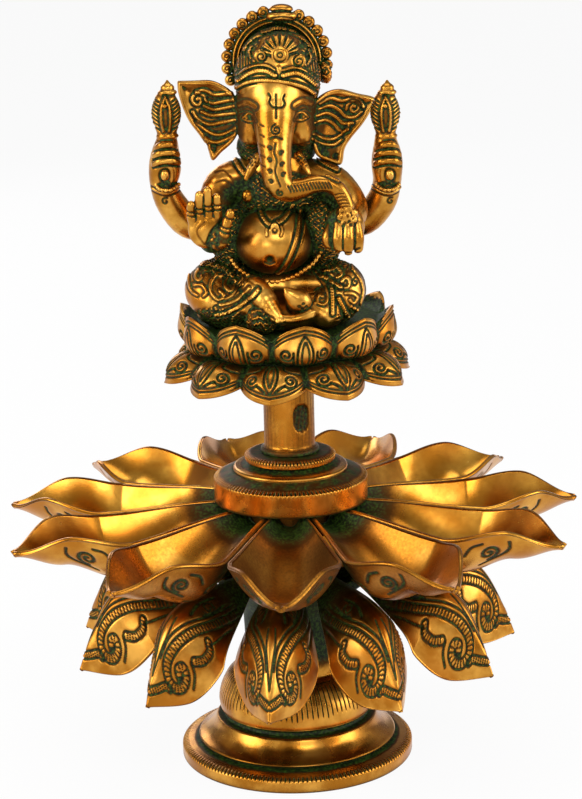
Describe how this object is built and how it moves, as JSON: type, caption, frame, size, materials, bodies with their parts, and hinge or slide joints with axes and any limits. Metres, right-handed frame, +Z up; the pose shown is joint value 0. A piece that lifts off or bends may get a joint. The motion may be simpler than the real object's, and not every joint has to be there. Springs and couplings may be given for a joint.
{
  "type": "lotus lamp",
  "caption": "Cast brass oil lamp: open bowl petals over hanging hooded petals on a turned pedestal, with a post, a lotus seat and a seated elephant-headed figure.",
  "frame": {"origin": "middle of the foot, on the surface it stands on", "axes": "+Z up along the post, -Y towards the front of the seated figure, +X to the viewer's right"},
  "size_m": [0.245, 0.244, 0.3216],
  "materials": {
    "cast_brass": "turned and cast brass, brown patina rubbed back, green in the grooves",
    "polished_brass": "hand polished golden brass, slightly uneven, fine scratches",
    "carved_brass": "cast and chased brass, dark green patina in the carving",
    "figure_brass": "cast figure in brass, polished on the high places, dark green patina in the folds",
    "dark_brass": "dull brown unpolished brass of the hidden fastening"
  },
  "bodies": {
    "base": {"pedestal": "cast_brass", "tie_rod": "dark_brass", "rod_washer": "dark_brass", "rod_nut": "dark_brass"},
    "lotus": {"lower_petal_01": "carved_brass", "lower_petal_02": "carved_brass", "lower_petal_03": "carved_brass", "lower_petal_04": "carved_brass", "lower_petal_05": "carved_brass", "lower_petal_06": "carved_brass", "lower_petal_07": "carved_brass", "lower_petal_08": "carved_brass", "lower_petal_09": "carved_brass", "lower_petal_10": "carved_brass", "lower_petal_11": "carved_brass", "lotus_hub": "cast_brass", "upper_petal_01": "polished_brass", "upper_petal_02": "polished_brass", "upper_petal_03": "polished_brass", "upper_petal_04": "polished_brass", "upper_petal_05": "polished_brass", "upper_petal_06": "polished_brass", "upper_petal_07": "polished_brass", "upper_petal_08": "polished_brass", "upper_petal_09": "polished_brass", "upper_petal_10": "polished_brass", "upper_petal_11": "polished_brass", "collar_ring": "cast_brass", "middle_ring": "cast_brass", "top_ring": "cast_brass"},
    "post": {"post": "polished_brass", "lotus_seat": "carved_brass"},
    "figure": {"seated_figure": "figure_brass"}
  },
  "joints": [
    {"name": "lotus_turn", "type": "hinge", "parent": "base", "child": "lotus", "pos_m": [0, 0, 0.0838], "axis": [0, 0, 1], "continuous": true},
    {"name": "post_turn", "type": "hinge", "parent": "lotus", "child": "post", "pos_m": [0, 0, 0.1352], "axis": [0, 0, 1], "continuous": true},
    {"name": "figure_lift", "type": "slide", "parent": "post", "child": "figure", "axis": [0, 0, 1], "range_m": [0, 0.03]}
  ]
}
